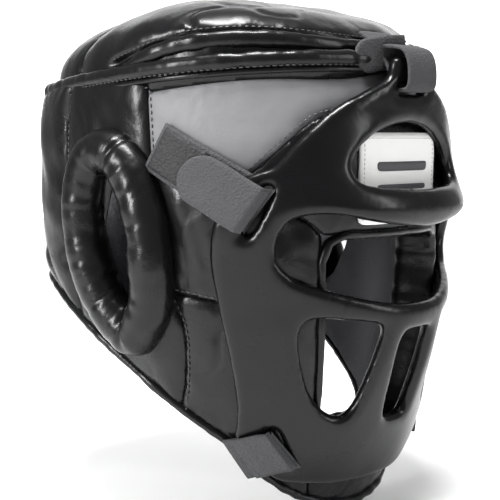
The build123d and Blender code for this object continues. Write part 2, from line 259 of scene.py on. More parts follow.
def add_piece(name, vertices, faces, material, body, nodes=()):
    """A closed mesh given in millimetres, put in the scene on its body. A piece that stands for
    the CAD part of the same name is called that and finished."""
    name = name + "_finished" if name in nodes else name
    mesh = bpy.data.meshes.new(name)
    mesh.from_pydata((np.asarray(vertices) / 1000).tolist(), [], faces)
    work = bmesh.new()
    work.from_mesh(mesh)
    bmesh.ops.recalc_face_normals(work, faces=work.faces)
    work.to_mesh(mesh)
    work.free()
    mesh.shade_smooth()
    mesh.materials.append(material)
    piece = bpy.data.objects.new(name, mesh)
    bpy.context.scene.collection.objects.link(piece)
    if nodes:
        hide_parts(*nodes)
    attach(piece, body)
    return piece


def layer_mesh(form, outline, holes, step, top, bottom):
    """A layer lying on the form inside the outline. top and bottom give its two faces from the
    flat points, their depth in from the edge and their place in space."""
    outline = np.asarray(outline, float)

    def inward(points):
        return edge_depth(points, outline, holes)

    low, high = outline.min(0) - 2 * step, outline.max(0) + 2 * step
    across = np.arange(low[0], high[0] + step, step)
    up = np.arange(low[1], high[1] + step, step)
    flat = np.stack(np.meshgrid(across, up, indexing="ij"), -1).reshape(-1, 2)
    depth = inward(flat)
    for _ in range(2):  # draws the points beside an edge on to it
        rim = (depth > -0.8 * step) & (depth < 0.4 * step)
        spot = flat[rim]
        slope = unit(
            np.stack([inward(spot + way) - inward(spot - way) for way in ((0.05, 0), (0, 0.05))], -1), 1e-9
        )
        flat[rim] = spot - slope * inward(spot)[:, None]
        depth[rim] = np.where(np.abs(inward(flat[rim])) < 0.2, 0, depth[rim])
    good = depth >= -0.01
    index = np.arange(len(flat)).reshape(len(across), len(up))
    cells = np.stack([index[:-1, :-1], index[1:, :-1], index[1:, 1:], index[:-1, 1:]], -1).reshape(-1, 4)
    cells = cells[good[cells].all(1) & (inward(flat[cells].mean(1)) > 0)]
    used = np.unique(cells)
    renumber = np.full(len(flat), -1)
    renumber[used] = np.arange(len(used))
    cells = renumber[cells]
    flat = flat[used]
    edges = {(int(a), int(b)): True for cell in cells for a, b in zip(cell, np.roll(cell, -1))}
    links = np.array(list(edges))
    rim_links = np.array([e for e in edges if (e[1], e[0]) not in edges])
    on_rim = np.zeros(len(flat), bool)
    on_rim[rim_links] = True
    for _ in range(4):  # evens out the steps that the square cells leave along the edge
        near_rim = ~on_rim & (inward(flat) < 4 * step)
        for chosen, pairs in ((on_rim, rim_links), (near_rim, links)):
            total, number = np.zeros_like(flat), np.zeros(len(flat))
            for one, two in ((0, 1), (1, 0)):
                np.add.at(total, pairs[:, one], flat[pairs[:, two]])
                np.add.at(number, pairs[:, one], 1)
            mean = total / np.maximum(number, 1)[:, None]
            flat = np.where(chosen[:, None], flat * 0.5 + mean * 0.5, flat)
    depth = np.where(on_rim, 0, np.maximum(inward(flat), 0))
    space = on_form(form, flat)
    outer = on_form(form, flat, top(flat, depth, space))
    inner = on_form(form, flat, bottom(flat, depth, space))
    count = len(flat)
    faces = [tuple(int(v) for v in cell) for cell in cells]
    faces += [tuple(int(v) + count for v in cell[::-1]) for cell in cells]
    faces += [(b, a, a + count, b + count) for a, b in edges if (b, a) not in edges]
    return np.vstack([outer, inner]), faces


def level(height):
    """A face that keeps one height off the form."""
    return lambda *_: height


def oval(centre, half_wide, half_high, lean, count=72):
    """A closed oval in (girth, height). On the right side a lean above 0 takes its foot forwards."""
    turn = np.linspace(0, 2 * math.pi, count, endpoint=False)
    across, up = half_wide * np.cos(turn), half_high * np.sin(turn)
    slant = math.tan(math.radians(lean))
    return np.stack([centre[0] + across - up * slant, centre[1] + up], -1)


def rim_height(y):
    return rim_middle - rim_fall * y


guard_form = make_form(guard_rows)
half_girth = guard_form["girth"][-1]
rim_line = []
for girth in np.linspace(0, -half_girth + 4, 60):
    spot = on_form(guard_form, np.array([girth, rim_middle]))
    rim_line.append([girth, rim_height(spot[1]) - 3])
rim_line = np.array(rim_line)
neck_line = eased(
    [
        girth_at(guard_form, *p)
        for p in (
            (0, -75, -151), (-30, -70, -147), (-55, -62, -133), (-73, -50, -110),
            (-86.5, -24, -92), (-91, -7, -80), (-96, 27, -57), (-87, 70, -34),
            (-75, 94, -28), (-40, 118, -26), (-4, 127, -25),
        )
    ]
)  # fmt: skip
neck_line[0, 0] = 0
ear_centre = girth_at(guard_form, -104, 0, 0)
ear_half_wide, ear_half_high, ear_lean = 18, 42, -9
ear_hole = oval(ear_centre, ear_half_wide, ear_half_high, ear_lean)
opening_half, opening_top, opening_foot = 50.0, 3.0, -108.0
opening_side = girth_at(guard_form, -opening_half, -90, -40)[0]
face_hole = np.array(
    [
        (opening_side, opening_foot + 14), (opening_side, opening_top - 14),
        (opening_side + 4, opening_top - 4), (opening_side + 14, opening_top),
        (-opening_side - 14, opening_top), (-opening_side - 4, opening_top - 4),
        (-opening_side, opening_top - 14), (-opening_side, opening_foot + 14),
        (-opening_side - 4, opening_foot + 4), (-opening_side - 14, opening_foot),
        (opening_side + 14, opening_foot), (opening_side + 4, opening_foot + 4),
    ]
)  # fmt: skip
whole_guard = np.vstack([rim_line, neck_line[::-1], flipped(neck_line)[1:], flipped(rim_line)[::-1][:-1]])
guard_holes = [ear_hole, flipped(ear_hole), face_hole]


def leather_finish(name, colour, roughness, grain, grain_depth, crease, crease_depth):
    """Grained leather: fine pebbles and wider creases as relief, with a slightly uneven shine."""
    material = bpy.data.materials.new(name)
    material.use_nodes = True
    nodes, links = material.node_tree.nodes, material.node_tree.links
    shader = nodes["Principled BSDF"]
    shader.inputs["Base Color"].default_value = (*colour, 1)
    shader.inputs["Roughness"].default_value = roughness
    shader.inputs["Specular IOR Level"].default_value = 0.22
    place = nodes.new("ShaderNodeTexCoord")
    pebbles = nodes.new("ShaderNodeTexVoronoi")
    pebbles.inputs["Scale"].default_value = 1 / grain
    wide = nodes.new("ShaderNodeTexNoise")
    wide.inputs["Scale"].default_value = 1 / crease
    wide.inputs["Detail"].default_value = 4
    wide.inputs["Distortion"].default_value = 0.6
    links.new(place.outputs["Object"], pebbles.inputs["Vector"])
    links.new(place.outputs["Object"], wide.inputs["Vector"])
    fine_bump, wide_bump = nodes.new("ShaderNodeBump"), nodes.new("ShaderNodeBump")
    for bump, height, distance in (
        (fine_bump, pebbles.outputs["Distance"], grain_depth),
        (wide_bump, wide.outputs["Fac"], crease_depth),
    ):
        bump.inputs["Strength"].default_value = 1
        bump.inputs["Distance"].default_value = distance
        links.new(height, bump.inputs["Height"])
    links.new(wide_bump.outputs["Normal"], fine_bump.inputs["Normal"])
    links.new(fine_bump.outputs["Normal"], shader.inputs["Normal"])
    shine = nodes.new("ShaderNodeMapRange")
    shine.inputs["To Min"].default_value = roughness - 0.06
    shine.inputs["To Max"].default_value = roughness + 0.1
    links.new(wide.outputs["Fac"], shine.inputs["Value"])
    links.new(shine.outputs["Result"], shader.inputs["Roughness"])
    return material


foam_finish = leather_finish("foam_core", (0.05, 0.05, 0.055), 0.9, 0.0016, 0.0003, 0.02, 0.0005)
vertices, faces = layer_mesh(
    guard_form, whole_guard, guard_holes, 5, level(-padding_face), level(-padding_back)
)
add_piece(
    "guard_foam", vertices, faces, foam_finish, "guard",
    ("forehead_foam", "side_foam_left", "side_foam_right", "cheek_foam_left", "cheek_foam_right",
     "chin_foam"),
)  # fmt: skip

# ------------------------------------------------------------ guard lining
# Dark brushed cloth inside the guard, quilted on to the foam so that it
# stands in soft cushions at the cheeks and brow.
lining_finish = leather_finish("lining_cloth", (0.035, 0.035, 0.038), 0.85, 0.0009, 0.0002, 0.012, 0.0006)


def lining_face(flat, depth, space):
    return -padding_back - 1.6 - 2.4 * (1 - np.exp(-depth / 9)) - 0.6 * ripple(space, 7, 38)


vertices, faces = layer_mesh(
    guard_form, whole_guard, guard_holes, 4, level(-padding_back - 0.2), lining_face
)
add_piece(
    "guard_lining", vertices, faces, lining_finish, "guard",
    ("forehead_lining", "side_lining_left", "side_lining_right", "cheek_lining_left", "cheek_lining_right",
     "chin_lining"),
)  # fmt: skip

# --------------------------------------------------------- leather covers
# Glossy black panels sewn edge to edge round the guard. Each is drawn tight
# over the foam, sinks into its seams and puckers beside them.
black_leather = leather_finish("black_leather", (0.003, 0.003, 0.0033), 0.26, 0.0011, 0.00003, 0.022, 0.0007)


def cover(
    name, outline, holes, seed, bulge=2.4, wrinkle=0.9, size=26, material=black_leather
):
    """A padded leather panel on the guard, in the place of the CAD part of its name."""

    def top(flat, depth, space):
        pucker = np.exp(-depth / 6) * ripple(space, seed + 9, 9) * 0.55
        swell = bulge * (1 - np.exp(-depth / 5)) - 1.9
        soft = (1 - np.exp(-depth / 8)) * wrinkle
        fold = 0.6 * ripple(space, seed, size) + 1.5 * creases(space, seed, size * 1.5)
        return swell + pucker * (depth > 0) + soft * fold

    vertices, faces = layer_mesh(guard_form, outline, holes, 2, top, level(-padding_face))
    add_piece(name, vertices, faces, material, "guard", (name,))


def guard_line(*points, times=3):
    return eased([girth_at(guard_form, *p) for p in points], times)


brow_seam = guard_line((0, -100, 89), (-6, -100, 89), (-37, -96, 83.5), (-80, -68.5, 84), (-101.5, -16, 77))
brow_seam[0, 0] = 0
temple_seam = guard_line((-103, -19, 42), (-96, -45, 37), (-86, -68, 32), times=2)
forehead_seam = guard_line((-86, -68, 32), (-66, -87, 56), (-54, -94, 66), (-20, -104, 66), (0, -105, 66))
forehead_seam[-1, 0] = 0
ear_top = [girth_at(guard_form, -101.5, -13, 88)[0], rim_height(-13) - 3]
ear_front_high = guard_line((-101.5, -16, 77), (-103, -19, 42), times=1)
ear_front_mid = guard_line((-103, -19, 42), (-102, -23, 0), (-99, -26, -27))
ear_front_low = guard_line((-99, -26, -27), (-95.5, -35, -44), (-90, -33, -66), (-86.5, -26, -91))
cheek_seam = guard_line((-99, -26, -27), (-96, -40, -29), (-90, -62, -33), (-50, -92, -35))
cheek_seam[-1, 0] = opening_side
brow_corner = guard_line((-86, -68, 32), (-70, -82, 18), (-50, -97, 3))
brow_corner[-1] = (opening_side, opening_top)
neck_split = int(np.argmin(np.linalg.norm(neck_line - ear_front_low[-1], axis=1)))
chin_split = int(np.argmin(np.abs(neck_line[:, 0] - opening_side)))
ear_rear = guard_line((-98, 46, 84.6), (-98, 52, 60), (-98.5, 52, 0), (-93, 44, -46))
ear_rear_split = int(np.argmin(np.linalg.norm(neck_line - ear_rear[-1], axis=1)))
rim_front = rim_line[rim_line[:, 0] >= ear_top[0]]
rim_ear = rim_line[(rim_line[:, 0] < ear_top[0]) & (rim_line[:, 0] > ear_rear[0, 0])]
rim_back = rim_line[rim_line[:, 0] <= ear_rear[0, 0]]

both_sides = (("right", lambda line: np.array(line, float), 0), ("left", flipped, 100))
for side, turn, start in both_sides:
    cover(
        f"upper_cheek_cover_{side}",
        turn(np.vstack([temple_seam, brow_corner[1:], cheek_seam[::-1], ear_front_mid[::-1][1:]])),
        [turn(ear_hole)], start + 11, wrinkle=1.7,
    )  # fmt: skip
    cover(
        f"lower_cheek_cover_{side}",
        turn(
            np.vstack(
                [cheek_seam, [(opening_side, opening_foot - 2)], neck_line[chin_split : neck_split + 1],
                 ear_front_low[::-1][1:]]
            )
        ),
        [], start + 12, wrinkle=1.7,
    )  # fmt: skip
    cover(
        f"ear_panel_cover_{side}",
        turn(
            np.vstack(
                [[ear_top], rim_ear, ear_rear, neck_line[neck_split : ear_rear_split + 1][::-1],
                 ear_front_low[::-1][1:], ear_front_mid[::-1][1:], ear_front_high[::-1][1:]]
            )
        ),
        [turn(ear_hole)], start + 13, bulge=3.4, wrinkle=1.5,
    )  # fmt: skip
    back_edge = [(-half_girth + 4, 60), (-half_girth + 4, -25)]
    cover(
        f"back_panel_cover_{side}",
        turn(
            np.vstack(
                [ear_rear[:1], rim_back, back_edge, neck_line[ear_rear_split:][::-1], ear_rear[::-1][1:]]
            )
        ),
        [], start + 14, bulge=3.8, wrinkle=1.3,
    )  # fmt: skip
    cover(
        f"brow_band_{side}",
        turn(np.vstack([rim_front, [ear_top], brow_seam[::-1]])),
        [], start + 15, bulge=5.2, wrinkle=2.0, size=18,
    )  # fmt: skip

cover(
    "forehead_pad_cover",
    np.vstack(
        [forehead_seam, flipped(forehead_seam)[::-1][1:], flipped(brow_corner)[1:], brow_corner[::-1][:-1]]
    ),
    [], 31,
)  # fmt: skip
cover(
    "chin_pad_cover",
    np.vstack(
        [[(opening_side, opening_foot), (-opening_side, opening_foot)],
         flipped(neck_line[: chin_split + 1])[::-1], neck_line[1 : chin_split + 1]]
    ),
    [], 32, wrinkle=1.2,
)  # fmt: skip

# ------------------------------------------------------------ temple panels
# Pale grey leather over each temple, from the ear round to the middle of
# the forehead, with a point reaching down under the strap.
grey_leather = leather_finish("grey_leather", (0.14, 0.14, 0.146), 0.5, 0.0010, 0.00005, 0.02, 0.0008)
for side, turn, start in both_sides:
    cover(
        f"temple_panel_{side}",
        turn(np.vstack([brow_seam, ear_front_high[1:], temple_seam[1:], forehead_seam[1:]])),
        [], start + 41, bulge=2.2, wrinkle=0.4, size=40, material=grey_leather,
    )  # fmt: skip

# ---------------------------------------------------------------- ear rolls
# A fat leather-covered roll sewn round each ear hole, pulled to a point at
# its foot, with short folds all along its inner side.
roll_radius, roll_half_wide, roll_half_high, roll_lean = 12.2, 24.0, 46.5, 9.0
roll_out, roll_back, roll_foot, roll_top = 106.0, 3, 1.5 * math.pi, 0.62 * math.pi


def swept(centre, side_way, half_side, half_rise, closed, count=20, power=2.0):
    """A tube through the centre points; side_way is across it and the rise is square to that. Each
    half size is one number, one for each ring, or one for each ring and each of its points."""
    centre = np.asarray(centre, float)
    if closed:
        ahead = np.roll(centre, -1, 0) - np.roll(centre, 1, 0)
    else:
        ahead = np.gradient(centre, axis=0)
    ahead = unit(ahead)
    side_way = unit(side_way - ahead * (side_way * ahead).sum(1, keepdims=True))
    rise = np.cross(ahead, side_way)
    turn = np.linspace(0, 2 * math.pi, count, endpoint=False)
    cosine = np.sign(np.cos(turn)) * np.abs(np.cos(turn)) ** (2 / power)
    sine = np.sign(np.sin(turn)) * np.abs(np.sin(turn)) ** (2 / power)
    wide, high = (
        half if np.ndim(half) == 2 else np.reshape(half, (-1, 1)) for half in (half_side, half_rise)
    )
    rings = centre[:, None] + side_way[:, None] * (wide * cosine)[..., None]
    rings = rings + rise[:, None] * (high * sine)[..., None]
    length = len(centre)
    faces = []
    for i in range(length if closed else length - 1):
        for j in range(count):
            k, m = (i + 1) % length, (j + 1) % count
            faces.append((i * count + j, k * count + j, k * count + m, i * count + m))
    if not closed:
        faces.append(tuple(range(count)))
        faces.append(tuple(range((length - 1) * count, length * count))[::-1])
    return rings.reshape(-1, 3), faces


for side, sign in (("right", -1), ("left", 1)):
    turn = np.linspace(0, 2 * math.pi, 260, endpoint=False)
    slant = math.tan(math.radians(roll_lean))
    up = roll_half_high * np.sin(turn)
    point = np.exp(-(((turn - roll_foot) / 0.35) ** 2))
    up = up - 5 * point
    oval_side = np.sign(np.cos(turn)) * np.abs(np.cos(turn)) ** 0.9
    back = roll_back + roll_half_wide * oval_side * (1 - 0.25 * point) + up * slant
    out = roll_out + np.minimum(up + 10, 0) * 0.11
    centre = np.stack([sign * out, back, up], -1)
    around = np.linspace(0, 2 * math.pi, 28, endpoint=False)
    outward = np.zeros_like(centre)
    outward[:, 0] = sign
    ring_turn, ring_around = np.meshgrid(turn, around, indexing="ij")
    spots = np.stack([60 * np.cos(ring_turn), 60 * np.sin(ring_turn), 14 * np.cos(ring_around)], -1)
    folds = 0.35 * ripple(spots, 60, 9) * (1 + np.cos(ring_around - 0.6)) + 0.5 * ripple(spots, 61, 22)
    seam_pinch = 1.1 * np.exp(-(((ring_turn - roll_foot) / 0.07) ** 2))
    seam_pinch = seam_pinch + 0.9 * np.exp(-(((ring_turn - roll_top) / 0.05) ** 2))
    thick = roll_radius + 0.6 * folds - seam_pinch
    vertices, faces = swept(centre, outward, thick, thick, True, 28)
    name = f"ear_roll_{side}"
    add_piece(name, vertices, faces, black_leather, "guard", (name,))

# ------------------------------------------------------------------- crown
# The padded cap over the top of the head: a puffed leather dome on foam,
# stitched down along a welt that runs round the brow from ear to ear.
crown_top, crown_shoulder = 130.5, 99.0
crown_wall, crown_foot_height = 0.22, 100.0
crown_turns, crown_steps = 300, 70


def crown_point(angle, share, lift=0.0):
    """Points of the dome, share 0 at the rim and 1 at the very top. Up to the share crown_wall it
    stands almost upright, and from there it rounds over."""
    angle, share = np.broadcast_arrays(np.asarray(angle, float), np.asarray(share, float))

    def place(a, s):
        up = np.clip((s - crown_wall) / (1 - crown_wall), 0, 1)
        pull = np.cos(up * math.pi / 2)
        foot = form_point(guard_form, a, np.full(a.shape, crown_foot_height)) * (1, 1, 0)
        behind = np.clip((foot[..., 1] + 20) / 90, 0, 1)
        behind = behind * behind * (3 - 2 * behind)
        before = np.clip((-foot[..., 1] - 35) / 62, 0, 1) ** 1.5
        foot = foot * (0.985 - 0.07 * behind - 0.05 * before)[..., None]
        low = rim_height(foot[..., 1]) - 2
        shoulder = (crown_shoulder + (low - rim_height(0)) * 0.35) * (1 - behind)
        shoulder = shoulder + (low + 3) * behind - 3 * before
        pull = pull ** (0.86 + 0.34 * behind + 0.3 * before)
        upright = low + (shoulder - low) * s / crown_wall
        rounded = shoulder + (crown_top - shoulder) * np.sin(up * math.pi / 2) ** 0.9
        z = np.where(s < crown_wall, upright, rounded)
        return np.stack([foot[..., 0] * pull, (foot[..., 1] - 10) * pull + 10, z], -1)

    e = 0.004
    level_way = place(angle + e, share) - place(angle - e, share)
    up_way = place(angle, np.clip(share + e, 0, 0.998)) - place(angle, np.clip(share - e, 0, 0.99))
    normal = unit(np.cross(level_way, up_way), 1e-9)
    return place(angle, share) + normal * np.asarray(lift, float)[..., None]


def line_gap(points, line):
    """Distance of each point to the nearest part of a line in space."""
    nearest = np.full(points.shape[:-1], 1e9)
    for p, q in zip(line[:-1], line[1:]):
        along = q - p
        share = np.clip((points - p) @ along / (along @ along), 0, 1)
        nearest = np.minimum(nearest, np.linalg.norm(points - p - share[..., None] * along, axis=-1))
    return nearest


def on_crown(line, lift=0.0):
    """The line laid on the dome at its own heights."""
    shares = np.linspace(0, 0.98, 150)
    found = []
    for x, y, z in line:
        angle = np.interp(girth_at(guard_form, x, y, 100)[0], guard_form["girth"], guard_form["angles"])
        share = np.interp(z, crown_point(angle, shares)[:, 2], shares)
        found.append(crown_point(angle, share, lift))
    return np.array(found)


def mirrored(half):
    """The whole line from its right half, which ends in the middle plane."""
    return np.vstack([half, (half * (-1, 1, 1))[::-1][1:]])


welt_line = mirrored(
    eased(
        [(-101, 12, 93), (-101, -10, 99), (-98, -33, 106), (-79, -67, 109), (-37, -93, 106), (0, -98, 105)]
    )
)
welt_seam = on_crown(welt_line)
rear_line = mirrored(eased([(-96, 52, 88), (-80, 48, 108), (-50, 46, 124), (0, 46, 130)]))
dome_grid = np.meshgrid(np.linspace(-math.pi, math.pi, 721), np.linspace(0.24, 0.98, 90))
dome_points = crown_point(*dome_grid).reshape(-1, 3)
nearest_spots = [np.argmin(np.linalg.norm(dome_points[:, :2] - p[:2], axis=1)) for p in rear_line]
rear_seam = dome_points[nearest_spots]


def dome_mesh(top, bottom, turns, steps):
    """A closed dome between two lifts off the crown."""
    angle = np.linspace(-math.pi, math.pi, turns, endpoint=False)
    share = np.linspace(0, 0.985, steps)
    a, s = np.meshgrid(angle, share, indexing="ij")
    base = crown_point(a, s)
    layers = [crown_point(a, s, lift(base, s)) for lift in (top, bottom)]
    vertices, faces = [], []
    for number, layer in enumerate(layers):
        start = len(vertices)
        vertices += layer.reshape(-1, 3).tolist()
        for i in range(turns):
            k = (i + 1) % turns
            for j in range(steps - 1):
                quad = (i * steps + j, k * steps + j, k * steps + j + 1, i * steps + j + 1)
                faces.append(tuple(start + v for v in (quad if number == 0 else quad[::-1])))
        ring = [start + i * steps + steps - 1 for i in range(turns)]
        vertices.append(layer[:, -1].mean(0).tolist())
        peak = len(vertices) - 1
        for i in range(turns):
            trio = (ring[i], ring[(i + 1) % turns], peak)
            faces.append(trio if number == 0 else trio[::-1])
    second = turns * steps + 1
    for i in range(turns):
        k = (i + 1) % turns
        faces.append((k * steps, i * steps, second + i * steps, second + k * steps))
    return vertices, faces


def crown_lift(base, share):
    seams = np.minimum(line_gap(base, welt_seam), line_gap(base, rear_seam))
    swell = 3.4 * (1 - np.exp(-seams / 7)) - 2.2 * np.exp(-((seams / 2.2) ** 2))
    pucker = np.exp(-seams / 9) * ripple(base, 71, 9) * 0.7
    return swell - 1.5 + pucker + 0.8 * ripple(base, 72, 34) + 2.2 * creases(base, 73, 42)


vertices, faces = dome_mesh(crown_lift, level(-5.5), crown_turns, crown_steps)
add_piece(
    "crown_cover", vertices, faces, black_leather, "guard",
    ("crown_top_cover", "crown_back_cover", "crown_gusset_left", "crown_gusset_right"),
)  # fmt: skip
vertices, faces = dome_mesh(level(-6), level(-17.5), 120, 30)
add_piece("crown_foam_pad", vertices, faces, foam_finish, "guard", ("crown_foam",))
vertices, faces = dome_mesh(level(-17.8), lambda base, share: -20.5 - 0.8 * ripple(base, 74, 30), 140, 36)
add_piece(
    "crown_lining_cloth", vertices, faces, lining_finish, "guard", ("crown_lining",),
)  # fmt: skip

# ------------------------------------------------------ piping and edging
# A rolled strip of the glossy leather hides the joint of crown and guard,
# a thin bound edge shows under it, and a folded welt lies over the brow.
piping_radius, edging_radius, welt_radius = 4.3, 1.5, 4.0
piping_drop, edging_drop, ring_count = 3.5, 9.3, 420
ring_girth = np.linspace(-half_girth, half_girth, ring_count, endpoint=False)
ring_base = on_form(guard_form, np.stack([ring_girth, np.full(ring_count, rim_middle)], -1))
ring_flat = np.stack([ring_girth, rim_height(ring_base[:, 1])], -1)


def guard_normal(flat):
    return on_form(guard_form, flat, np.ones(len(flat))) - on_form(guard_form, flat, np.zeros(len(flat)))


def resampled(line, count):
    share = np.linspace(0, 1, count)
    return np.stack([np.interp(share, np.linspace(0, 1, len(line)), line[:, i]) for i in range(3)], -1)


behind = np.clip((ring_base[:, 1] + 30) / 90, 0, 1)
piping_centre = on_form(guard_form, ring_flat - (0, piping_drop), 0.6 - 4.5 * behind)
uneven = 0.35 * ripple(piping_centre, 80, 14) + 0.25 * ripple(piping_centre, 81, 5)
ring_normal = guard_normal(ring_flat)
vertices, faces = swept(
    piping_centre, ring_normal, piping_radius * 0.8 + uneven, piping_radius + uneven, True, 18
)
add_piece(
    "crown_piping", vertices, faces, black_leather, "guard", ("crown_piping",)
)
edging_centre = on_form(guard_form, ring_flat - (0, edging_drop), 0.9 - 3.5 * behind)
vertices, faces = swept(edging_centre, ring_normal, edging_radius, edging_radius, True, 10)
add_piece("crown_edging", vertices, faces, black_leather, "guard", ("crown_edging",))
welt_path = resampled(on_crown(welt_line - (0, 0, 4.5)), 200)
welt_out = unit(welt_path * (1, 1, 0))
fine = np.linspace(0, 1, 200)
taper = np.sin(np.clip(np.minimum(fine, 1 - fine) / 0.12, 0, 1) * math.pi / 2)
kink = 0.5 * ripple(welt_path, 82, 12)
vertices, faces = swept(
    welt_path + welt_out * 0.6, welt_out, 0.4 + (2.6 + kink) * taper,
    0.5 + (welt_radius + kink) * taper, False, 16,
)  # fmt: skip
add_piece("crown_welt", vertices, faces, black_leather, "guard")

# ----------------------------------------------------------------- bindings
# Leather bound over the raw edges, along the neck and round the face
# opening.
binding_half_wide, binding_half_high, binding_sink = 11.6, 3.2, 10.5


def dense(line, step=1.5):
    lengths = travelled(line)
    even = np.linspace(0, lengths[-1], max(int(lengths[-1] / step), 2))
    return np.stack([np.interp(even, lengths, line[:, i]) for i in range(line.shape[1])], -1)


def edge_binding(name, line, closed, seed):
    flat = dense(line, 2.5)
    if closed:
        flat = flat[:-1]
    centre = on_form(guard_form, flat, -binding_sink)
    lumps = 0.35 * ripple(centre, seed, 10)
    vertices, faces = swept(
        centre, guard_normal(flat), binding_half_wide + lumps, binding_half_high + lumps, closed, 24, 2.8
    )
    add_piece(name, vertices, faces, black_leather, "guard", (name,))


edge_binding("neck_binding", np.vstack([neck_line[::-1], flipped(neck_line)[1:]]), False, 90)
edge_binding("face_opening_binding", np.vstack([face_hole, face_hole[:1]]), True, 91)

# ---------------------------------------------------------------- face cage
# One black moulding in front of the face: an arched brow with a tab, wide
# wings at the temples, upright bars beside the nose and a chin cup.
cage_rows = (
    (-135, 80, 90, 85, 2.2), (-117, 88, 100, 95, 2.1), (-96, 95, 107, 105, 2.0), (-70, 102, 116, 118, 1.95),
    (-45, 108, 123, 124, 1.9), (-35, 109, 123, 124, 1.9), (-20, 109.5, 120, 126, 2.1),
    (5, 110.5, 125, 128, 2.2), (15, 110.5, 126.5, 128, 2.2), (25, 110.5, 125, 128, 2.2),
    (40, 110.5, 118, 128, 2.25), (64, 109.5, 114, 128, 2.3), (87, 107, 116.5, 128, 2.3),
    (110, 104, 115, 128, 2.3),
)  # fmt: skip
cage_form = make_form(cage_rows)


def cage_spot(x, z):
    """The (girth, height) pair of a point on the front of the cage."""
    half, front, _, power = sizes_at(cage_form, z)
    y = -front * (1 - min(abs(x) / half, 1) ** power) ** (1 / power)
    return girth_at(cage_form, x, y, z)


def cage_side(y, z):
    """The same for a point on the right wing of the cage."""
    half, front, _, power = sizes_at(cage_form, z)
    x = -half * (1 - min(abs(y) / front, 1) ** power) ** (1 / power)
    return girth_at(cage_form, x, y, z)


cage_upper = [
    cage_spot(x, z)
    for x, z in (
        (-16, 96), (-16.5, 90), (-18, 84.5), (-34, 78), (-50, 71), (-62, 62.5), (-72, 53), (-80, 43),
        (-83, 39),
    )
]  # fmt: skip
cage_rear = [
    cage_side(y, z)
    for y, z in (
        (-79, 37), (-66, 31), (-60, 14), (-57, 3), (-56, -13.5), (-58, -29), (-59.5, -47),
        (-60.5, -66), (-60, -85), (-58, -97), (-54, -107), (-60, -119), (-67, -131),
    )
]  # fmt: skip
cage_foot = [cage_spot(*p) for p in ((-50, -133), (-32, -135), (-11, -135.5), (0, -135.5))]
cage_half = eased(np.array(cage_upper + cage_rear + cage_foot), 2)
cage_top = np.array([cage_spot(*p) for p in ((0, 97), (-11, 97))])
cage_outline = np.vstack([cage_top, cage_half, flipped(cage_half)[::-1][1:], flipped(cage_top)[::-1][:-1]])


def window(points, mirror=True):
    """A closed opening with round corners from points on the front, or from its right half."""
    line = [cage_spot(*p) for p in points]
    if mirror:
        line += [[-u, z] for u, z in line[::-1] if abs(u) > 0.01]
    line = np.array(line)
    for _ in range(3):
        after = np.roll(line, -1, 0)
        cut = np.stack([line * 0.75 + after * 0.25, line * 0.25 + after * 0.75], 1)
        line = cut.reshape(-1, 2)
    return line


forehead_window = window(
    ((0, 62), (-9, 61.5), (-24, 58.5), (-36, 52.5), (-44, 45.5), (-49, 38), (-46, 32), (-38, 29.5),
     (-24, 28.5), (0, 27.5))
)  # fmt: skip
eye_window = window(
    ((0, 5.5), (-9, 6), (-38, 9.5), (-60, 15), (-72, 15), (-80, 11), (-83, 3), (-82, -8), (-77, -16),
     (-70, -21), (-58, -25), (-43, -29), (-23, -33), (0, -34))
)  # fmt: skip
mouth_window = window(((0, -49), (-10, -49), (-14.5, -51), (-14, -70), (-12, -95), (-9, -99), (0, -99)))
jaw_window = window(
    ((-27, -44), (-48, -41), (-66, -39), (-69, -46), (-66, -60), (-60, -77), (-52, -89), (-40, -97),
     (-33, -92), (-30.5, -82), (-27.5, -63), (-26, -50)),
    mirror=False,
)  # fmt: skip
temple_slot = np.array([cage_side(*p) for p in ((-86.5, 30), (-82, 29.5), (-72, 3.5), (-76, 2.5))])
jaw_slot = np.array([cage_side(*p) for p in ((-75, -99), (-71.5, -99.5), (-73.5, -122), (-77, -122))])
tab_slot = np.array([cage_spot(*p) for p in ((-13.5, 81.5), (13.5, 81.5), (13.5, 76.5), (-13.5, 76.5))])
cage_holes = [forehead_window, eye_window, mouth_window, jaw_window, flipped(jaw_window), tab_slot]
for cut in (temple_slot, jaw_slot):
    cage_holes += [cut, flipped(cut)]
cage_plastic = leather_finish("cage_moulding", (0.002, 0.002, 0.0023), 0.24, 0.004, 0.00001, 0.03, 0.0006)
cage_outer_round, cage_inner_round, cage_round_in = 2.6, 2.4, 5
cage_inner_face, brow_height, brow_bulge = -6.4, 17, 2.2


def cage_round(depth, most):
    share = np.clip(depth / cage_round_in, 0, 1)
    return most * np.sqrt(np.clip(1 - (1 - share) ** 2, 0, 1))


def cage_top_face(flat, depth, space):
    brow = brow_bulge * np.exp(-(((flat[:, 1] - brow_height) / 8) ** 2)) * np.exp(-((flat[:, 0] / 75) ** 4))
    return -cage_outer_round + cage_round(depth, cage_outer_round) + 0.2 * ripple(space, 95, 40) + brow


vertices, faces = layer_mesh(
    cage_form, cage_outline, cage_holes, 2, cage_top_face,
    lambda flat, depth, space: cage_inner_face - cage_round(depth, cage_inner_round),
)  # fmt: skip
cage = add_piece("face_cage", vertices, faces, cage_plastic, "cage", ("face_cage",))


def evaluated_mesh(holder, name):
    """A mesh of the object as its modifiers leave it."""
    view = bpy.context.evaluated_depsgraph_get()
    mesh = bpy.data.meshes.new_from_object(holder.evaluated_get(view), depsgraph=view)
    mesh.name = name
    return mesh


melt = cage.modifiers.new("melt", "REMESH")
melt.mode = "VOXEL"
melt.voxel_size = 0.0015
melt.use_smooth_shade = True
soften = cage.modifiers.new("soften", "SMOOTH")
soften.factor = 0.5
soften.iterations = 14
cage_mesh = evaluated_mesh(cage, cage.name)
cage.modifiers.clear()
cage.data = cage_mesh
if not cage.data.materials:
    cage.data.materials.append(cage_plastic)

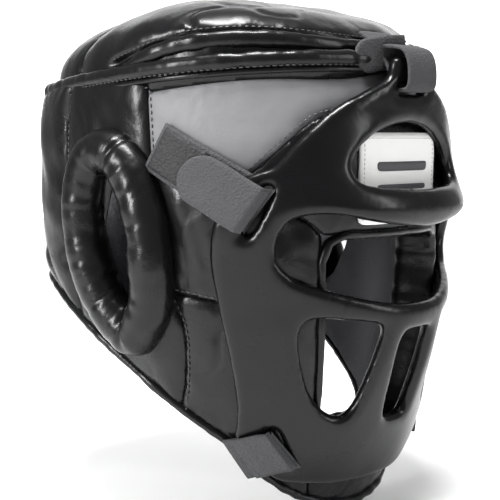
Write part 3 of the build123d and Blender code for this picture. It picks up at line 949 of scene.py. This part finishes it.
# ------------------------------------------------------------------- straps
# Grey hook-and-loop straps hold the cage: each comes from under the cage,
# passes out through its slot and folds back over itself.
strap_finish = leather_finish("loop_strap", (0.045, 0.045, 0.047), 0.95, 0.0012, 0.0004, 0.006, 0.0006)
hook_finish = leather_finish("hook_area", (0.018, 0.018, 0.019), 0.6, 0.0016, 0.0005, 0.006, 0.0003)
strap_thick, strap_columns = 2.2, 13


def strip_mesh(middle, across, out, half_wide, thick, round_end=False):
    """A band along the middle points, with a round far end where asked."""
    run = travelled(middle)
    width = np.full(len(middle), float(half_wide))
    if round_end:
        gap = np.clip(half_wide - (run[-1] - run), 0, half_wide)
        width = np.sqrt(np.clip(width**2 - gap**2, 1.0, None))
    shares = np.linspace(-1, 1, strap_columns)
    ease = 1 - 0.35 * np.abs(shares) ** 8
    spread = middle[:, None] + across[:, None] * (width[:, None] * shares)[..., None]
    vertices = [spread + out[:, None] * (lift * ease)[None, :, None] for lift in (thick / 2, -thick / 2)]
    count = len(middle) * strap_columns
    index = np.arange(count).reshape(-1, strap_columns)
    quads = np.stack([index[:-1, :-1], index[1:, :-1], index[1:, 1:], index[:-1, 1:]], -1).reshape(-1, 4)
    faces = [tuple(int(v) for v in q) for q in quads]
    faces += [tuple(int(v) + count for v in q[::-1]) for q in quads]
    border = [int(v) for v in index[:, 0]] + [int(v) for v in index[-1, 1:]]
    border += [int(v) for v in index[::-1, -1][1:]] + [int(v) for v in index[0, ::-1][1:-1]]
    for a, b in zip(border, border[1:] + border[:1]):
        faces.append((a, b, b + count, a + count))
    return np.vstack([v.reshape(-1, 3) for v in vertices]), faces


def side_strap(path, across_flat, lifts, holds):
    """Middle points, across and outward directions for a strap on the side of the headgear. path is
    (y, z) points, lifts the height off the surface and holds 0 on the guard and 1 on the cage."""
    knots = np.linspace(0, 1, len(path))
    fine = np.linspace(0, 1, 46)
    window = np.hanning(7)
    window /= window.sum()

    def even(values):
        dense = np.interp(fine, knots, values)
        return np.convolve(np.pad(dense, 3, mode="edge"), window, "valid")

    y, z = even([p[0] for p in path]), even([p[1] for p in path])
    lift, hold = even(lifts), even(holds)

    def surface_at(y, z):
        found = []
        for form in (guard_form, cage_form):
            half, front, back, power = sizes_at(form, z)
            depth = np.where(y < 0, front, back)
            x = -half * np.clip(1 - np.clip(np.abs(y) / depth, 0, 0.999) ** power, 0, 1) ** (1 / power)
            found.append(np.stack([x, y, z], -1))
        return found[0] * (1 - hold)[:, None] + found[1] * hold[:, None]

    dy, dz = across_flat
    across = unit(surface_at(y + dy, z + dz) - surface_at(y - dy, z - dz))
    backward = surface_at(y + 1, z) - surface_at(y - 1, z)
    upward = surface_at(y, z + 1) - surface_at(y, z - 1)
    out = unit(np.cross(upward, backward))
    out *= np.sign(-out[:, :1])
    return surface_at(y, z) + out * lift[:, None], across, out


strap_plans = {
    "temple": {
        "half": 13.5, "across": (-0.5, 0.86),
        "base": (
            [(-24, 50), (-50, 35), (-66, 25), (-77, 17.5), (-80, 16)],
            [2.5, 2.8, 3.0, 3.4, 0.5], [0, 0.0, 0.1, 0.35, 0.8],
        ),
        "flap": (
            [(-79.5, 16.5), (-77, 17.5), (-70, 22), (-60, 28.5), (-40, 38)],
            [0.5, 3.2, 2.2, 2.4, 5.4], [0.9, 1, 1, 0.85, 0.0],
        ),
    },
    "jaw": {
        "half": 13.0, "across": (0.33, 0.94),
        "base": (
            [(-50, -117), (-60, -114), (-68, -112), (-74, -110.5), (-76, -110)],
            [2.5, 2.8, 3.0, 3.4, 0.5], [0, 0.0, 0.1, 0.35, 0.8],
        ),
        "flap": (
            [(-75.5, -110.2), (-74, -110.5), (-70, -111.5), (-64, -113.5), (-57, -115)],
            [0.5, 3.2, 2.4, 2.6, 3.4], [0.9, 1, 1, 0.9, 0.6],
        ),
    },
}  # fmt: skip
for kind, plan in strap_plans.items():
    for side, sign in (("right", 1), ("left", -1)):
        for part in ("base", "flap"):
            path, lifts, holds = plan[part]
            middle, across, out = side_strap(path, plan["across"], lifts, holds)
            mirror = np.array((sign, 1, 1))
            vertices, faces = strip_mesh(
                middle * mirror, across * mirror, out * mirror, plan["half"], strap_thick,
                round_end=part == "flap" and kind == "temple",
            )  # fmt: skip
            name = f"{kind}_strap_{part}_{side}"
            body = "cage" if part == "base" else f"{kind}_flap_{side}"
            add_piece(name, vertices, faces, strap_finish, body, (name,))
            if part == "base" and kind == "temple":
                vertices, faces = strip_mesh(
                    (middle + out * 1.3)[1:12] * mirror, across[1:12] * mirror, out[1:12] * mirror, 11.5, 0.9
                )
                add_piece(f"temple_hook_area_{side}", vertices, faces, hook_finish, body)

# ---------------------------------------------------------------- top strap
# The strap at the brow comes off the crown, goes down behind the tab and
# through its slot, and folds up over the tab on to a tongue that lies along
# the brow.
top_half, tongue_half = 13.0, 9
base_path = eased([(0, -88, 110), (0, -97, 104), (0, -104, 95), (0, -109, 86), (0, -111.5, 79)], 2)
flap_path = eased(
    [(0, -112.5, 78.8), (0, -119.5, 78.8), (0, -120.5, 86), (0, -119.5, 95), (0, -116, 100.5),
     (0, -108, 102), (0, -101, 102)],
    2,
)  # fmt: skip
for name, path, body in (
    ("crown_strap_base", base_path, "cage"),
    ("crown_strap_flap", flap_path, "crown_flap"),
):
    middle = resampled(path, 40)
    across = np.tile((1.0, 0, 0), (40, 1))
    out = unit(np.cross(across, np.gradient(middle, axis=0)))
    vertices, faces = strip_mesh(middle, across, out, top_half, strap_thick)
    add_piece(name, vertices, faces, strap_finish, body, (name,))

tongue = eased([(6, -104.5, 100), (-8, -103.5, 99), (-20, -101.5, 97), (-31, -98.5, 95)], 2)
middle = resampled(tongue, 30)
ahead = np.gradient(middle, axis=0)
out = unit(np.cross(ahead, np.tile((0, 0, 1.0), (30, 1))))
out *= -np.sign(out[:, 1:2])
across = unit(np.cross(out, ahead))
vertices, faces = strip_mesh(middle, across, out, tongue_half, strap_thick, round_end=True)
add_piece("crown_strap_tongue", vertices, faces, strap_finish, "crown_flap")

# ------------------------------------------------------------- rear closure
# A wide hook-and-loop band draws the back of the guard together: its root
# is sewn to one side and its free end lies on a hook patch on the other.
closure_low, closure_high = -14.0, 36.0


def back_band(name, x_values, inset, lift, thick, material, body, rounded=False, dip=0.0):
    """A level band on the back of the guard; dip draws its first end in."""
    low, high = closure_low + inset, closure_high - inset
    x = np.linspace(*x_values, 40)
    lift = lift - dip * np.exp(-np.abs(x - x[0]) / 4)
    half, _, back, power = sizes_at(guard_form, (low + high) / 2)
    y = back * (1 - (np.abs(x) / half) ** power) ** (1 / power) + lift
    middle = np.stack([x, y, np.full(40, (low + high) / 2)], -1)
    across = np.tile((0, 0, 1.0), (40, 1))
    out = unit(np.cross(across, np.gradient(middle, axis=0)))
    out *= np.sign(out[:, 1:2])
    vertices, faces = strip_mesh(middle, across, out, (high - low) / 2, thick, round_end=rounded)
    add_piece(name, vertices, faces, material, body, (name,))


back_band("closure_strap_root", (56, 19), 0, 4.4, strap_thick, black_leather, "guard")
back_band("closure_hook_patch", (-12, -56), 3, 3.9, 1.6, strap_finish, "guard")
back_band(
    "closure_strap_flap", (13.6, -52), 0, 6.4, strap_thick, black_leather, "closure_flap",
    rounded=True, dip=4.0,
)  # fmt: skip

# -------------------------------------------------------------------- label
# A plain white cloth label with a sewn border on the forehead pad.
label_finish = leather_finish("label_cloth", (0.75, 0.75, 0.74), 0.8, 0.0008, 0.0001, 0.02, 0.0003)
label_low, label_high, label_half = 8, 56, 34


def brow_box(half, low, high):
    """The outline of an upright rectangle in the middle of the forehead."""
    corners = ((-half, low), (half, low), (half, high), (-half, high))
    return np.array([girth_at(guard_form, x, -100, z) for x, z in corners])


vertices, faces = layer_mesh(
    guard_form, brow_box(label_half, label_low, label_high), [], 2.5, level(1.9), level(0.4)
)
add_piece("label_patch", vertices, faces, label_finish, "guard", ("label_patch",))

ink_finish = plain_finish("label_ink", (0.05, 0.05, 0.055), 0.6)
for name, low, high in (("upper", 36, 41), ("lower", 26, 29)):
    vertices, faces = layer_mesh(guard_form, brow_box(22, low, high), [], 1.5, level(2.15), level(1.85))
    add_piece(f"label_bar_{name}", vertices, faces, ink_finish, "guard")

# ----------------------------------------------------------------- stitches
# Rows of thread beside the seams, one small stitch after another, sunk a
# little into the leather.
thread_finish = plain_finish("thread", (0.02, 0.02, 0.02), 0.5)


def stitch_nodes():
    """A node group that sets small rounded stitches along a curve."""
    group = bpy.data.node_groups.new("stitches", "GeometryNodeTree")
    for label, kind in (
        ("Geometry", "Geometry"), ("Spacing", "Float"), ("Length", "Float"), ("Thickness", "Float"),
        ("Material", "Material"),
    ):  # fmt: skip
        group.interface.new_socket(label, in_out="INPUT", socket_type="NodeSocket" + kind)
    group.interface.new_socket("Geometry", in_out="OUTPUT", socket_type="NodeSocketGeometry")
    nodes, links = group.nodes, group.links
    start, end = nodes.new("NodeGroupInput"), nodes.new("NodeGroupOutput")
    along = nodes.new("GeometryNodeCurveToPoints")
    along.mode = "LENGTH"
    bead = nodes.new("GeometryNodeMeshUVSphere")
    bead.inputs["Segments"].default_value = 6
    bead.inputs["Rings"].default_value = 4
    bead.inputs["Radius"].default_value = 1
    size = nodes.new("ShaderNodeCombineXYZ")
    shape = nodes.new("GeometryNodeTransform")
    spread = nodes.new("GeometryNodeInstanceOnPoints")
    solid = nodes.new("GeometryNodeRealizeInstances")
    paint = nodes.new("GeometryNodeSetMaterial")
    for source, output, target, entry in (
        (start, "Geometry", along, "Curve"), (start, "Spacing", along, "Length"),
        (start, "Thickness", size, "X"), (start, "Thickness", size, "Y"), (start, "Length", size, "Z"),
        (bead, "Mesh", shape, "Geometry"), (size, "Vector", shape, "Scale"),
        (along, "Points", spread, "Points"), (along, "Rotation", spread, "Rotation"),
        (shape, "Geometry", spread, "Instance"), (spread, "Instances", solid, "Geometry"),
        (solid, "Geometry", paint, "Geometry"), (start, "Material", paint, "Material"),
        (paint, "Geometry", end, "Geometry"),
    ):  # fmt: skip
        links.new(source.outputs[output], target.inputs[entry])
    return group


stitch_group = stitch_nodes()


def stitch_rows(name, lines, spacing=3.4, length=1.25, thickness=0.42, material=thread_finish):
    """One mesh of stitches on the guard along several lines given in millimetres."""
    curve = bpy.data.curves.new(name, "CURVE")
    curve.dimensions = "3D"
    for line in lines:
        spline = curve.splines.new("POLY")
        spline.points.add(len(line) - 1)
        for point, spot in zip(spline.points, np.asarray(line) / 1000):
            point.co = (*spot, 1)
    holder = bpy.data.objects.new(name + "_path", curve)
    bpy.context.scene.collection.objects.link(holder)
    modifier = holder.modifiers.new("stitches", "NODES")
    modifier.node_group = stitch_group
    entries = stitch_group.interface.items_tree
    named = {item.name: item.identifier for item in entries if item.in_out == "INPUT"}
    for label, size in (("Spacing", spacing), ("Length", length), ("Thickness", thickness)):
        modifier[named[label]] = size / 1000
    modifier[named["Material"]] = material
    mesh = evaluated_mesh(holder, name)
    bpy.data.objects.remove(holder)
    piece = bpy.data.objects.new(name, mesh)
    bpy.context.scene.collection.objects.link(piece)
    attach(piece, "guard")


def beside(line, gap):
    """The line moved sideways by gap in the flat."""
    line = dense(line)
    ahead = unit(np.gradient(line, axis=0))
    return line + np.stack([-ahead[:, 1], ahead[:, 0]], -1) * gap


seam_rows = [beside(brow_seam, -2.6)]
ear_front_foot = ear_front_mid[len(ear_front_mid) * 2 // 3 :]
for seam in (ear_front_high, ear_front_low, ear_front_foot, cheek_seam, ear_rear, forehead_seam):
    seam_rows.append(beside(seam, 2.4))
panel_rows = [on_form(guard_form, row, -0.65) for right in seam_rows for row in (right, flipped(right))]
stitch_rows("guard_stitches", panel_rows)
stitch_rows("crown_stitches", [on_crown(dense(welt_line + (0, 0, 2.6)), -0.3)])
label_inset = 3
label_edge = brow_box(label_half - label_inset, label_low + label_inset, label_high - label_inset)
label_edge = np.vstack([label_edge, label_edge[:1]])
label_thread = plain_finish("label_thread", (0.45, 0.45, 0.45), 0.7)
stitch_rows(
    "label_stitches", [on_form(guard_form, dense(label_edge), 1.95)], 2.4, 0.9, 0.3, label_thread
)
piping_row = on_form(guard_form, ring_flat - (0, 7.2), 2.6 - 4.2 * behind)
stitch_rows("piping_stitches", [piping_row])
